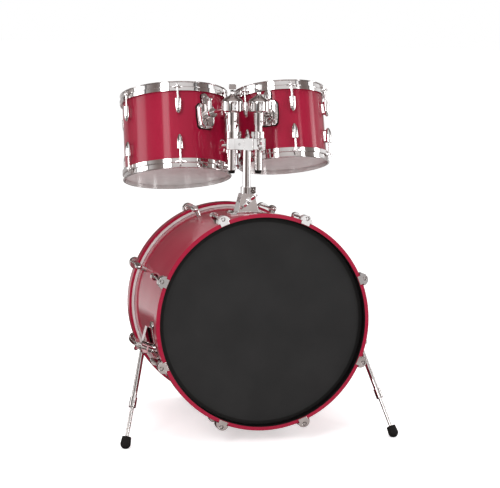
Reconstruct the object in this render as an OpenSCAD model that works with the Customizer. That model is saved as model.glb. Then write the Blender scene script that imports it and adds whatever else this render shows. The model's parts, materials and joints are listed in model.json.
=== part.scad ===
// Bass drum on folding spurs, with two toms on a double tom holder.
// Millimetres, +Z up. The front head faces -Y, and left and right are as seen from the front.
// The origin is on the floor, where the rear bass hoop stands on it.

/* [Bass drum] */
// Outside diameter of the bass drum shell
bass_d = 558.8; // [550:0.2:570]
// Depth of the bass drum shell
bass_depth = 457.2; // [440:0.2:480]
// Wall of the bass drum shell
bass_wall = 8; // [6:0.5:10]
// Backward lean of the drum on its spurs, in degrees
lean = 4; // [3:0.25:5]
// Width of a bass hoop along the drum
hoop_w = 38; // [36:0.5:42]
// Thickness of a bass hoop
hoop_t = 11.5; // [10:0.5:13]
// How far a bass hoop stands past the shell's edge
hoop_reach = 22; // [19:0.5:25]
// Distance from the shell's edge to the flat end of a bass lug
bass_lug_in = 85; // [80:1:92]
// Distance of a bass tension rod from the outside of the hoop
rod_out = 8.5; // [7.5:0.5:10]
// Radius of a claw's round body
claw_r = 17.5; // [16:0.5:19]
// Width of a claw's hook over the hoop
claw_w = 24; // [20:1:28]
// Length of a claw's body along the drum
claw_len = 25; // [20:1:30]

/* [Toms] */
// Outside diameter of the left tom's shell
left_tom_d = 304.8; // [298:0.2:308]
// Depth of the left tom's shell
left_tom_depth = 228.6; // [222:0.2:236]
// Outside diameter of the right tom's shell
right_tom_d = 254; // [246:0.5:258]
// Depth of the right tom's shell
right_tom_depth = 203.2; // [196:0.2:210]
// Wall of a tom shell
tom_wall = 6.5; // [5:0.5:8]
// Height of a flanged tom hoop
rim_h = 28; // [26:0.5:30]
// How far a tom hoop stands above the shell's edge
rim_rise = 12; // [10:0.5:14]
// Sheet of a flanged tom hoop
rim_t = 2.1; // [1.8:0.1:2.4]
// Height of a tom hoop's skirt below its step
rim_skirt = 10; // [9:0.5:11]
// Distance from the shell's edge to the flat end of a tom lug
tom_lug_in = 41; // [36:1:44]
// Distance of a tom tension rod from the shell
tom_rod_out = 13; // [12.5:0.25:14]

/* [Heads, lugs and rods] */
// Thickness of a drum head's film
film = 0.8; // [0.6:0.1:1]
// Diameter of a bullet-shaped lug
lug_d = 19; // [17:0.5:20]
// Length of a lug
lug_len = 44; // [40:1:46]
// Length of the straight part of a lug
lug_straight = 14; // [12:1:18]
// Width of a lug's foot
lug_foot_w = 12; // [10:0.5:13]
// Diameter of a tension rod
rod_d = 6; // [5:0.25:6.5]
// Diameter of a lug screw
screw_d = 4; // [3.5:0.25:4.5]

/* [Tom holder] */
// Place of the holder along the bass drum, from the middle of the shell
holder_y = -27; // [-34:1:-20]
// Diameter of the post and of the arm tubes
tube_d = 22.2; // [21:0.1:23.2]
// Wall of the post and of the arm tubes
tube_wall = 2.2; // [1.8:0.1:2.6]
// Height of the holder's base above the shell
base_h = 54; // [52:0.5:57]
// Width of the base at its top
base_top_w = 37; // [34:0.5:40]
// Width of the base at the shell
base_w = 63; // [58:1:68]
// Width of the base's flange
flange_w = 100; // [96:1:106]
// Length of the base's flange along the drum
flange_l = 80; // [76:1:86]
// Depth to which the post reaches into the bass drum
post_dip = 90; // [80:1:100]
// Height of the bridge's top above the shell
bridge_top = 208; // [200:1:216]
// Height of the bridge
bridge_h = 33; // [31:0.5:36]
// Distance of each arm tube from the middle of the bridge
arm_x = 38; // [36:0.5:40]
// Distance of the arm tubes behind the post
arm_back = 22; // [20:0.5:25]
// Outside diameter of a bridge sleeve
sleeve_d = 35; // [32:0.5:37]
// Height of a lock collar
lock_h = 18; // [16:0.5:19]
// Length of an arm tube below the bridge
tube_tail = 57; // [52:1:62]
// Height of the balls above the bridge's top
ball_rise = 91; // [88:0.5:95]
// Diameter of a tilter's ball
ball_d = 36; // [34:0.5:38]
// Outside diameter of a tilter housing
tilter_d = 61; // [58:0.5:64]
// Diameter of the rod that carries a tom
arm_rod_d = 10.5; // [9.5:0.25:11]

/* [Arms] */
// Turn of the left arm towards the rear, in degrees
left_turn = 23.8; // [20.8:0.1:26.8]
// Slope of the left arm's rod, in degrees
left_slope = -13.4; // [-15.4:0.1:-11.4]
// Roll of the left tom about its rod, in degrees
left_roll = 5.6; // [3.6:0.1:7.6]
// Distance from the left ball to the left tom's shell
left_reach = 138; // [134:0.5:144]
// Height of the rod above the middle of the left tom
left_drop = 27.9; // [24.9:0.1:30.9]
// Turn of the right arm towards the rear, in degrees
right_turn = -30.2; // [-33.2:0.1:-27.2]
// Slope of the right arm's rod, in degrees
right_slope = -11.5; // [-13.5:0.1:-9.5]
// Roll of the right tom about its rod, in degrees
right_roll = -8.2; // [-10.2:0.1:-6.2]
// Distance from the right ball to the right tom's shell
right_reach = 108; // [104:0.5:114]
// Height of the rod above the middle of the right tom
right_drop = 20.3; // [17.3:0.1:23.3]

/* [Tom brackets] */
// Width of a bracket's shield
shield_w = 53; // [48:1:56]
// Height of a bracket's shield
shield_h = 72; // [68:1:76]
// Width of the round tab on top of a shield
tab_w = 21; // [18:0.5:23]
// Height of the tab above the shield
tab_h = 31; // [28:0.5:34]
// Thickness of a shield
shield_t = 5; // [4:0.5:6]
// Distance of a shield's raised face from the tom's shell
face_out = 20; // [17:0.5:21]
// Thickness of the gasket under a shield
gasket_t = 2; // [1.5:0.25:3]
// Outside diameter of a bracket's receiver
receiver_d = 21; // [19:0.5:24]
// Length of a receiver from the tom's shell
receiver_l = 44; // [43:0.5:46]
// Height of a receiver's clamp above the rod
clamp_up = 37; // [36:0.5:42]

/* [Spurs] */
// Place of the spur pivots along the bass drum, from the middle of the shell
spur_y = -116; // [-120:1:-110]
// Distance of a spur pivot from the shell
spur_out = 35.6; // [33:0.2:38]
// Angle of the spur pivots below the drum's middle, in degrees
spur_below = 14; // [13:0.1:14.5]
// Sideways splay of the spurs, in degrees
spur_splay = 15.6; // [14:0.2:18]
// Forward slope of the spurs, in degrees
spur_forward = 26.9; // [25:0.1:29]
// Outside diameter of a spur's upper tube
spur_d = 14; // [13.6:0.1:15.5]
// Diameter of a spur's sliding rod
spur_rod_d = 9.8; // [9:0.1:10]
// Length of a spur's upper tube, from the pivot
spur_tube_l = 176; // [170:1:184]
// Diameter of a spur's clamp sleeve
clamp_d = 19; // [18:0.5:21]
// Length of a spur's clamp sleeve
clamp_l = 27; // [24:1:30]
// Diameter of a rubber foot
foot_d = 28; // [26:0.5:30]
// Length of a rubber foot's straight part
foot_l = 18; // [15:1:22]

/* [Fits] */
// Gap round pieces that slide or turn in another piece
slide_gap = 0.3; // [0.2:0.05:0.4]
// Gap between pieces that are fixed on each other
seat_gap = 0.2; // [0.15:0.05:0.3]
// Gap round a running pivot pin
pin_gap = 0.1; // [0.05:0.01:0.1]

/* [Hidden] */
$fn = 64;
// Overlap of joined shapes, and the overrun of cuts
over = 1;

// Colours
wine = "#8c1030";
silver = "#d8d8da";
black = "#1c1c1e";
white = "#e6e2de";

LEFT = 0;
RIGHT = 1;

// Bass drum: hoops, heads and the rods' circle
bass_r = bass_d / 2;
head_gap = 0.6;
hoop_gap = 2.6;
hoop_in = bass_r + hoop_gap;
hoop_r = hoop_in + hoop_t;
hoop_face = bass_depth / 2 + hoop_reach;
hoop_seat = hoop_face - hoop_w;
hoop_edge = 1.5;
bass_flesh_r = hoop_in + 4;
bass_flesh_h = 8;
bass_rod_r = hoop_r + rod_out;
bass_lug_y = bass_depth / 2 - bass_lug_in;
bass_count = 8;
bass_first = 180 / bass_count;

// How the bass drum stands: the rear hoop's lowest point is the origin
bass_lift = hoop_r * cos(lean) + hoop_face * sin(lean);
contact_y = hoop_face * cos(lean) - hoop_r * sin(lean);

// Shell edges: an outer chamfer, a flat land and an inner cut
edge_out = 1.5;
edge_land = 2;

// Claws
claw_lip = 3;
claw_hook = 9;
claw_root = 5;
claw_pocket = 10;

// Toms
tom_count = 6;
tom_first = 0;
rim_step_in = 2;
rim_skirt_in = 5.4;
rim_flange = 4.5;
ear_r = 8;
tom_flesh_h = 7;
function tom_r(side) = (side == LEFT ? left_tom_d : right_tom_d) / 2;
function tom_depth(side) = side == LEFT ? left_tom_depth : right_tom_depth;
function tom_rod_r(side) = tom_r(side) + tom_rod_out;
function tom_lug_y(side) = tom_depth(side) / 2 - tom_lug_in;
function rim_foot(side) = tom_depth(side) / 2 + rim_rise - rim_h;

// Lugs, rods and screws
lug_bore = 26;
lug_steps = 6;
rod_gap = 0.3;
rod_in_lug = 20;
rod_collar_d = 11.5;
rod_collar_h = 2;
key_w = 6;
key_h = 7;
screw_gap = 0.3;
screw_head_d = 10;
screw_head_h = 3;
screw_ends = 9;
screw_short = 4.5;
screw_dome = 0.7;
lug_foot_end = 1;

// Wing bolts, as shares of the span, and the hub as shares of the thread
wing_hub = 0.3;
wing_lobe = 0.17;
wing_sheet = 0.13;
hub_root = 1.9;
hub_tip = 1.5;
wing_root = 0.6;
wing_low = 0.2;
wing_dip = 0.8;
wing_under = -60;
wing_above = 140;

// Tom holder, with heights from the bass drum's axis
base_top = bass_r + base_h;
flange_t = 5;
flange_cut = 14;
flange_screw_d = 5;
flange_screw_x = 40;
flange_screw_y = 31;
base_bolt_up = 37;
base_bolt_z = bass_r + base_bolt_up;
base_bolt_span = 50;
base_bolt_d = 8;
base_bolt_y = -base_w / 2;
bridge_z = bass_r + bridge_top;
bridge_low = bridge_z - bridge_h;
boss_w = 25;
boss_root_w = 44;
boss_y = 18;
web_t = 22;
post_cover = 4;
post_hole_gap = 3;
post_screw_d = 9;
post_screw_h = 4;
set_hole_x = -19;
set_hole_d = 4;
set_hole_y = 2;
lock_wall = 5.5;
lock_ear = 9;
lock_split = 2;
lock_screw_d = 8;
lock_gap = 0.05;
bridge_bolt_up = 12;
bridge_bolt_z = bridge_low + bridge_bolt_up;
bridge_bolt_gap = 1;
bridge_bolt_span = 38;
bridge_bolt_d = 7;
ball_z = bridge_z + ball_rise;
tube_low = bridge_low - tube_tail;
cap_h = 9;
cap_d = 20;
cap_end_d = 16;
cap_plug = 12;

// Tilters, with heights from the ball's centre
cup_low = -17;
cup_high = 10;
cup_slope = 3;
cup_edge_r = 4;
cup_edge_h = 2;
groove_low = 6;
groove_h = 1.2;
groove_in = 0.8;
clamp_block_w = 12;
clamp_block_out = 1.6;
clamp_block_low = -14;
clamp_block_high = 5;
key_hole_d = 5;
key_hole_in = 6;
key_hole_low = -8;
key_hole_high = 3;
stem_screw_z = -44;
stem_screw_d = 6;
stem_screw_out = 1.8;
stem_screw_turn = 25;
bell_top = 33;
neck_top = 38;
neck_r = 5.5;
bell_steps = 8;
stem_low = -54;
stem_wall = 2.6;
tube_stop = -24;
ball_gap = 0.15;
tilt_down = 3;
tilt_up = 12;
window_gap = 1;
window_trim = 0.3;
tilter_bolt_d = 6;
ring_h = 4;
tilter_knob_w = 20;
tilter_knob_h = 15;
tilter_knob_t = 6;
tilter_knob_corner = 4;
tilter_knob_gap = 2;
tilter_knob_root = 4;

// Arms
rod_stop = 16;
receiver_lip = 3;
receiver_band = 8;
receiver_floor = 1;
bracket_bolt_back = 29;
bracket_bolt_span = 23;
bracket_bolt_d = 6;
bracket_bolt_gap = 1;
bracket_clamp_d = 12.6;
function turn(side) = side == LEFT ? left_turn : right_turn;
function slope(side) = side == LEFT ? left_slope : right_slope;
function roll(side) = side == LEFT ? left_roll : right_roll;
function reach(side) = side == LEFT ? left_reach : right_reach;
function drop(side) = side == LEFT ? left_drop : right_drop;
function hand(side) = side == LEFT ? -1 : 1;

// Brackets: the rod lies this far below the top of the shield
shield_up = 34;
shield_low_w = 46;
shield_step = 4;
tab_shoulder = 1;
shield_corner_x = 8;
shield_corner_y = 10;
shield_waist = -4;
shield_foot_cut = 6;
bracket_screw_d = 6;
bracket_screw_head_d = 11;
bracket_screw_head_h = 3;
bracket_screw_up = 12;
bracket_screw_in = 13;
gasket_rim = 2;
tab_screws = [[0, shield_up + tab_h - tab_w / 2]];
low_screw_x = shield_low_w / 2 - bracket_screw_in;
low_screw_y = shield_up - shield_h + bracket_screw_up;
low_screws = [[-low_screw_x, low_screw_y], [low_screw_x, low_screw_y]];

// Spurs
spur_r = bass_r + spur_out;
spur_x = spur_r * cos(spur_below);
spur_z = -spur_r * sin(spur_below);
spur_rise = spur_z * cos(lean) - spur_y * sin(lean) + bass_lift;
spur_fall = cos(spur_forward) * cos(spur_splay) * cos(lean) - sin(spur_forward) * sin(lean);
foot_sink = 1.5;
foot_taper = 3;
foot_s = (spur_rise - foot_d / 2 + foot_sink) / spur_fall;
spur_rod_top = 86;
foot_socket = 14;
eye_r = 13;
eye_t = 16;
pivot_d = 10;
pivot_stud = 7;
pad_up = 40;
pad_down = 6;
pad_w = 40;
pad_t = 6;
spur_block_w = 28;
spur_block_h = 40;
spur_block_out = 7;
spur_block_gap = 2;
spur_boss_r = 11.5;
stop_t = 5;
stop_h = 9;
spur_bolt_span = 34;
clamp_screw_d = 6;
clamp_screw_out = 3;

// Frames

// The bass drum's frame: origin at its middle, Y along its axis to the rear, leaning back on its spurs
module drum_frame() {
  translate([0, -contact_y, bass_lift]) rotate([-lean, 0, 0]) children();
}

// The holder's frame: Z along the post, from the bass drum's axis
module holder_frame() {
  drum_frame() translate([0, holder_y, 0]) children();
}

// An arm tube's frame: Z up the tube, from the ball's centre, with Y turned towards the tom
module tube_frame(side) {
  holder_frame() translate([hand(side) * arm_x, arm_back, ball_z]) rotate([0, 0, turn(side)]) children();
}

// An arm's frame: Y along the rod from the ball's centre, Z near the tom's axis
module arm_frame(side) {
  tube_frame(side) rotate([slope(side), 0, 0]) rotate([0, roll(side), 0]) children();
}

// A tom's frame: Y up its axis from its middle, Z towards its bracket
module tom_frame(side) {
  arm_frame(side) translate([0, reach(side) + tom_r(side), -drop(side)]) rotate([90, 0, 0]) children();
}

// A spur bracket's frame: origin on the pivot, X along the pivot pin into the drum
module pivot_frame(side) {
  drum_frame() mirror_if(side == RIGHT)
    translate([-spur_x, spur_y, spur_z]) rotate([0, spur_splay, 0]) children();
}

// A spur's frame: Z up the leg from the pivot
module spur_frame(side) {
  pivot_frame(side) rotate([-spur_forward, 0, 0]) children();
}

module mirror_if(flip) {
  if (flip) mirror([1, 0, 0]) children();
  else children();
}

// Places round both ends of a drum: X out from the shell, Y towards the nearer head
module stations(count, first) {
  for (end = [0, 180])
    for (k = [0:count - 1])
      rotate([0, 0, end]) rotate([0, -first - k * 360 / count, 0]) children();
}

// One end of a drum, with Y towards its head
module drum_end(far) {
  rotate([0, 0, far ? 0 : 180]) children();
}

// Shared shapes

// Solid of revolution about Y, from a profile of radius and place along Y
module about_y() {
  rotate([-90, 0, 0]) rotate_extrude($fn = 128) children();
}

module y_cylinder(r, low, high) {
  translate([0, low, 0]) rotate([-90, 0, 0]) cylinder(r = r, h = high - low, $fn = 128);
}

module x_cylinder(d, low, high) {
  translate([low, 0, 0]) rotate([0, 90, 0]) cylinder(d = d, h = high - low);
}

module tube(outer_d, inner_d, low, high) {
  translate([0, 0, low]) difference() {
    cylinder(d = outer_d, h = high - low);
    translate([0, 0, -over]) cylinder(d = inner_d, h = high - low + 2 * over);
  }
}

// Round-ended bar of width w from a to b along X
module stadium(a, b, w) {
  translate([a, -w / 2]) square([b - a, w]);
  for (x = [a, b]) translate([x, 0]) circle(d = w);
}

// Plain shell with a bearing edge at each end
module drum_shell(r, depth, wall) {
  half = depth / 2;
  cut = wall - edge_out - edge_land;
  about_y() polygon([
    [r - wall, -half + cut], [r - wall + cut, -half], [r - edge_out, -half], [r, -half + edge_out],
    [r, half - edge_out], [r - edge_out, half], [r - wall + cut, half], [r - wall, half - cut]]);
}

// Drum head: a film on the shell's edge, its collar and its flesh hoop
module drum_head(r, depth, seat, flesh_r, flesh_h) {
  half = depth / 2;
  collar = r + head_gap;
  about_y() polygon([
    [0, half], [collar, half], [collar, seat - flesh_h], [flesh_r, seat - flesh_h],
    [flesh_r, seat], [collar + film, seat], [collar + film, half + film], [0, half + film]]);
}

module lug_profile() {
  polygon(concat(
    [[0, 0], [lug_d / 2, 0]],
    [for (i = [0:lug_steps])
      let (u = 90 * i / lug_steps)
        [lug_d / 2 * cos(u), lug_straight + (lug_len - lug_straight) * sin(u)]]));
}

// Bullet-shaped lug with its flat end at y and its axis at axis_r, on a foot that fits the shell
module lug(r, axis_r, y) {
  translate([0, y, 0]) difference() {
    union() {
      translate([axis_r, 0, 0]) rotate([90, 0, 0]) rotate_extrude() lug_profile();
      translate([r - lug_foot_w, 0, 0]) rotate([90, 0, 90])
        linear_extrude(axis_r - r + lug_foot_w)
          stadium(-lug_len + lug_foot_w, -lug_foot_w / 2 - lug_foot_end, lug_foot_w);
    }
    y_cylinder(r + seat_gap, -2 * lug_len, lug_len);
    translate([axis_r, 0, 0]) y_cylinder(rod_d / 2 + rod_gap, -lug_bore, over);
    lug_screw_places() x_cylinder(screw_d + 2 * screw_gap, r - over, axis_r - screw_short + screw_gap);
  }
}

// The two screws of a lug, along its foot
module lug_screw_places() {
  for (y = [-screw_ends, -lug_len + lug_foot_w + lug_foot_end]) translate([0, y, 0]) children();
}

// Screw holes of a lug through a shell
module lug_holes(r, wall, y) {
  translate([0, y, 0]) lug_screw_places() x_cylinder(screw_d + 2 * screw_gap, r - 2 * wall, r + over);
}

// A lug's two screws, with their heads inside the shell
module lug_screws(r, wall, axis_r, y) {
  inside = r - wall - seat_gap;
  translate([0, y, 0]) lug_screw_places() {
    x_cylinder(screw_d, inside - over, axis_r - screw_short);
    x_cylinder(screw_head_d, inside - screw_head_h, inside);
  }
}

// Tension rod: shank, collar and square key head, with the collar's underside at y
module tension_rod(axis_r, y, tip) {
  translate([axis_r, 0, 0]) {
    y_cylinder(rod_d / 2, tip, y + over);
    y_cylinder(rod_collar_d / 2, y, y + rod_collar_h);
    translate([-key_w / 2, y + rod_collar_h - over, -key_w / 2]) cube([key_w, key_h + over, key_w]);
  }
}

// Wing bolt along +Z: shank below z = 0, hub and two lobed wings above it
module wing_bolt(d, shank, span, turned) {
  hub_h = span * wing_hub;
  lobe_r = span * wing_lobe;
  wing_t = span * wing_sheet;
  lobe_x = span / 2 - lobe_r;
  translate([0, 0, -shank]) cylinder(d = d, h = shank + over);
  cylinder(d1 = d * hub_root, d2 = d * hub_tip, h = hub_h);
  rotate([90, 0, turned]) translate([0, 0, -wing_t / 2]) for (flip = [0, 180]) rotate([0, flip, 0])
    translate([0, 0, flip == 0 ? 0 : -wing_t]) {
      translate([lobe_x, hub_h, 0]) cylinder(r = lobe_r, h = wing_t);
      linear_extrude(wing_t) polygon([
        [-over, hub_h * wing_low], [d * wing_root, hub_h * wing_low],
        [lobe_x + lobe_r * cos(wing_under), hub_h + lobe_r * sin(wing_under)],
        [lobe_x + lobe_r * cos(wing_above), hub_h + lobe_r * sin(wing_above)],
        [-over, hub_h * wing_dip]]);
    }
}

// Bass drum

module bass_shell() {
  color(wine) drum_frame() difference() {
    drum_shell(bass_r, bass_depth, bass_wall);
    stations(bass_count, bass_first) lug_holes(bass_r, bass_wall, bass_lug_y);
    translate([0, holder_y, bass_r / 2]) cylinder(d = tube_d + 2 * post_hole_gap, h = bass_r);
    translate([0, holder_y, 0]) flange_screw_places()
      translate([0, 0, bass_r / 2]) cylinder(d = flange_screw_d + 2 * screw_gap, h = bass_r);
  }
}

module bass_hoop(far) {
  color(wine) drum_frame() drum_end(far) about_y() polygon([
    [hoop_in, hoop_seat], [hoop_r - hoop_edge, hoop_seat], [hoop_r, hoop_seat + hoop_edge],
    [hoop_r, hoop_face - hoop_edge], [hoop_r - hoop_edge, hoop_face],
    [hoop_in + hoop_edge, hoop_face], [hoop_in, hoop_face - hoop_edge]]);
}

module bass_front_hoop() {
  bass_hoop(false);
}

module bass_rear_hoop() {
  bass_hoop(true);
}

module bass_head(far) {
  drum_frame() drum_end(far)
    drum_head(bass_r, bass_depth, hoop_seat, bass_flesh_r, bass_flesh_h);
}

module bass_front_head() {
  color(black) bass_head(false);
}

module bass_rear_head() {
  color(white) bass_head(true);
}

// Claw: a hook over the hoop's face and a half-round body beside the hoop, pocketed for the rod's head
module claw() {
  front = hoop_face + claw_lip;
  difference() {
    union() {
      intersection() {
        translate([hoop_r, 0, 0]) y_cylinder(claw_r, front - claw_len, front);
        translate([hoop_r + seat_gap, 0, -claw_r]) cube([claw_r, front + over, 2 * claw_r]);
      }
      translate([hoop_r - claw_hook, hoop_face, -claw_w / 2])
        cube([claw_hook + claw_root, claw_lip, claw_w]);
    }
    translate([bass_rod_r, 0, 0]) {
      y_cylinder(rod_d / 2 + rod_gap, 0, front + over);
      y_cylinder(rod_collar_d / 2 + rod_gap, front - claw_pocket, front + over);
    }
  }
}

module bass_claws() {
  color(silver) drum_frame() stations(bass_count, bass_first) claw();
}

module bass_tension_rods() {
  color(silver) drum_frame() stations(bass_count, bass_first)
    tension_rod(bass_rod_r, hoop_face + claw_lip - claw_pocket, bass_lug_y - rod_in_lug);
}

module bass_lugs() {
  color(silver) drum_frame() stations(bass_count, bass_first) lug(bass_r, bass_rod_r, bass_lug_y);
}

module bass_lug_screws() {
  color(silver) drum_frame() stations(bass_count, bass_first)
    lug_screws(bass_r, bass_wall, bass_rod_r, bass_lug_y);
}

// Tom holder

// Places of the flange's screws, with Z out of the shell
module flange_screw_places() {
  for (x = [-1, 1], y = [-1, 1])
    translate([0, y * flange_screw_y, 0]) rotate([0, x * asin(flange_screw_x / bass_r), 0]) children();
}

// Wedge across the drum, wide at the shell and narrow at the base's top
module base_wedge() {
  low = bass_r - flange_t;
  rotate([90, 0, 0]) translate([0, 0, -flange_l / 2]) linear_extrude(flange_l) polygon([
    [-base_w / 2, low], [base_w / 2, low], [base_top_w / 2, base_top], [-base_top_w / 2, base_top]]);
}

module holder_base() {
  color(silver) holder_frame() difference() {
    union() {
      intersection() {
        base_wedge();
        rotate([0, 0, 90]) base_wedge();
      }
      intersection() {
        y_cylinder(bass_r + flange_t, -flange_l / 2, flange_l / 2);
        translate([0, 0, bass_r / 2]) linear_extrude(bass_r) flange_outline();
      }
    }
    y_cylinder(bass_r + seat_gap, -flange_l, flange_l);
    translate([0, 0, bass_r / 2]) cylinder(d = tube_d + 2 * slide_gap, h = bass_r);
    translate([0, 0, base_bolt_z]) y_cylinder(base_bolt_d / 2 + slide_gap, -base_w, 0);
    flange_screw_places()
      translate([0, 0, bass_r / 2]) cylinder(d = flange_screw_d + 2 * screw_gap, h = bass_r);
  }
}

// The flange's outline from above, with cut corners
module flange_outline() {
  x = flange_w / 2;
  y = flange_l / 2;
  cut_x = x - flange_cut;
  cut_y = y - flange_cut;
  polygon([[-cut_x, -y], [cut_x, -y], [x, -cut_y], [x, cut_y],
    [cut_x, y], [-cut_x, y], [-x, cut_y], [-x, -cut_y]]);
}

module holder_base_screws() {
  inside = bass_r - bass_wall - seat_gap;
  outside = bass_r + flange_t + seat_gap;
  color(silver) holder_frame() flange_screw_places() {
    translate([0, 0, inside - over]) cylinder(d = flange_screw_d, h = outside - inside + 2 * over);
    translate([0, 0, outside]) cylinder(d1 = screw_head_d, d2 = screw_head_d * screw_dome, h = screw_head_h);
    translate([0, 0, inside - screw_head_h]) cylinder(d = screw_head_d, h = screw_head_h, $fn = 6);
  }
}

module base_wing_bolt() {
  color(silver) holder_frame() translate([0, base_bolt_y, base_bolt_z]) rotate([90, 0, 0])
    wing_bolt(base_bolt_d, -base_bolt_y - tube_d / 2 - 2 * slide_gap, base_bolt_span, turned = 42);
}

module holder_post() {
  color(silver) holder_frame()
    tube(tube_d, tube_d - 2 * tube_wall, bass_r - post_dip, bridge_z - post_cover);
}

// Lock collar of height lock_h, with a split ear and its key screw
module lock_collar(bore, ear_turn) {
  outer = bore + 2 * lock_wall;
  ear_x = outer / 2 + lock_ear;
  rotate([0, 0, ear_turn]) difference() {
    union() {
      cylinder(d = outer, h = lock_h);
      translate([0, -lock_ear, 0]) cube([ear_x, 2 * lock_ear, lock_h]);
      lock_screw_place(ear_x) y_cylinder(lock_screw_d / 2, -lock_ear - screw_head_h, 0);
    }
    translate([0, 0, -over]) cylinder(d = bore, h = lock_h + 2 * over);
    difference() {
      translate([0, -lock_split / 2, -over]) cube([ear_x + over, lock_split, lock_h + 2 * over]);
      lock_screw_place(ear_x) y_cylinder(screw_d / 2, -lock_ear, lock_ear);
    }
  }
}

// Middle of a lock collar's key screw, across its ear
module lock_screw_place(ear_x) {
  translate([ear_x - lock_ear / 2, 0, lock_h / 2]) children();
}

module post_lock() {
  color(silver) holder_frame() translate([0, 0, base_top + lock_gap])
    lock_collar(tube_d + 2 * seat_gap, ear_turn = -20);
}

// Outline of the bridge from above: a web between the arm tubes, and a boss round the post in front of it
module web_outline() {
  root = boss_root_w / 2;
  tip = boss_w / 2;
  front = arm_back - web_t / 2;
  back = arm_back + web_t / 2;
  polygon([[-arm_x, front], [-root, front], [-tip, -boss_y], [tip, -boss_y], [root, front], [arm_x, front],
    [arm_x, back], [-arm_x, back]]);
}

module bridge() {
  color(silver) holder_frame() difference() {
    translate([0, 0, bridge_low]) {
      for (x = [-1, 1]) translate([x * arm_x, arm_back, 0]) cylinder(d = sleeve_d, h = bridge_h);
      linear_extrude(bridge_h) web_outline();
      translate([0, 0, bridge_h - over]) cylinder(d = post_screw_d, h = post_screw_h + over);
    }
    translate([set_hole_x, 0, bridge_low + bridge_h / 2])
      y_cylinder(set_hole_d / 2, -boss_y - over, set_hole_y);
    translate([0, 0, bridge_low - over])
      cylinder(d = tube_d + 2 * seat_gap, h = bridge_h - post_cover + over);
    for (side = [LEFT, RIGHT]) {
      translate([hand(side) * arm_x, arm_back, bridge_low - over])
        cylinder(d = tube_d + 2 * slide_gap, h = bridge_h + 2 * over);
      bridge_bolt_place(side) translate([0, 0, -sleeve_d / 2])
        cylinder(d = bridge_bolt_d + 2 * slide_gap, h = sleeve_d);
    }
  }
}

// Where a bridge wing bolt comes out of its sleeve: at the left side, and in front on the right
module bridge_bolt_place(side) {
  translate([hand(side) * arm_x, arm_back, bridge_bolt_z]) rotate([0, 0, side == LEFT ? -90 : 0])
    translate([0, -sleeve_d / 2, 0]) rotate([90, 0, 0]) children();
}

module bridge_wing_bolt(side, turned) {
  color(silver) holder_frame() bridge_bolt_place(side) translate([0, 0, bridge_bolt_gap])
    wing_bolt(bridge_bolt_d, sleeve_d / 2 - tube_d / 2 - slide_gap, bridge_bolt_span, turned);
}

module left_bridge_wing_bolt() {
  bridge_wing_bolt(LEFT, turned = 60);
}

module right_bridge_wing_bolt() {
  bridge_wing_bolt(RIGHT, turned = 100);
}

// Arms

module tube_lock(side) {
  color(silver) tube_frame(side) translate([0, 0, lock_gap - ball_rise])
    lock_collar(tube_d + 2 * slide_gap, ear_turn = -90 - hand(side) * 40 - turn(side));
}

module left_tube_lock() {
  tube_lock(LEFT);
}

module right_tube_lock() {
  tube_lock(RIGHT);
}

module arm_tube(side) {
  color(silver) tube_frame(side)
    tube(tube_d, tube_d - 2 * tube_wall, tube_low - ball_z, tube_stop);
}

module left_arm_tube() {
  arm_tube(LEFT);
}

module right_arm_tube() {
  arm_tube(RIGHT);
}

// Black end cap, with a plug inside the tube
module tube_cap(side) {
  color(black) tube_frame(side) translate([0, 0, tube_low - ball_z]) {
    cylinder(d = tube_d - 2 * tube_wall - 2 * seat_gap, h = cap_plug);
    translate([0, 0, -cap_h]) cylinder(d1 = cap_end_d, d2 = cap_d, h = cap_h);
  }
}

module left_tube_cap() {
  tube_cap(LEFT);
}

module right_tube_cap() {
  tube_cap(RIGHT);
}

// Outside of a tilter housing: cup, bell that sweeps in to the neck, and the stem over the tube
module tilter_profile() {
  cup_r = tilter_d / 2;
  stem_r = tube_d / 2 + seat_gap + stem_wall;
  middle = (cup_r + neck_r) / 2;
  polygon(concat(
    [[0, stem_low], [stem_r, stem_low], [stem_r, cup_low - cup_slope], [cup_r - cup_edge_r, cup_low],
      [cup_r, cup_low + cup_edge_h], [cup_r, groove_low], [cup_r - groove_in, groove_low],
      [cup_r - groove_in, groove_low + groove_h], [cup_r, groove_low + groove_h]],
    [for (i = [0:bell_steps])
      let (share = i / bell_steps)
        [middle + (cup_r - middle) * cos(180 * share), cup_high + (bell_top - cup_high) * share]],
    [[neck_r, neck_top], [0, neck_top]]));
}

// The rod's window in the housing, from its lowest to its highest slope
module rod_window(side) {
  low = slope(side) - tilt_down;
  high = slope(side) + tilt_up;
  w = arm_rod_d + 2 * window_gap - 2 * window_trim;
  for (a = [low, high]) rotate([a, 0, 0]) y_cylinder(arm_rod_d / 2 + window_gap, 0, tilter_d);
  translate([-w / 2, 0, 0]) rotate([90, 0, 90]) linear_extrude(w) polygon([
    [0, 0], [tilter_d * cos(low), tilter_d * sin(low)], [tilter_d * cos(high), tilter_d * sin(high)]]);
}

// Front of a tilter housing, with Y to the front of the drum
module tilter_front(side) {
  rotate([0, 0, 180 - turn(side)]) children();
}

// Clamp block on the cup's front, whose two key screws are drilled into it, and the stem's key screw
module tilter_clamp(side) {
  block_h = clamp_block_high - clamp_block_low;
  tilter_front(side) {
    translate([-clamp_block_w / 2, ball_d / 2 + clamp_block_w / 2, clamp_block_low])
      cube([clamp_block_w, tilter_d / 2 + clamp_block_out - ball_d / 2 - clamp_block_w / 2, block_h]);
    rotate([0, 0, stem_screw_turn]) translate([0, 0, stem_screw_z])
      y_cylinder(stem_screw_d / 2, tube_d / 2 + seat_gap + over,
        tube_d / 2 + seat_gap + stem_wall + stem_screw_out);
  }
}

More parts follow.
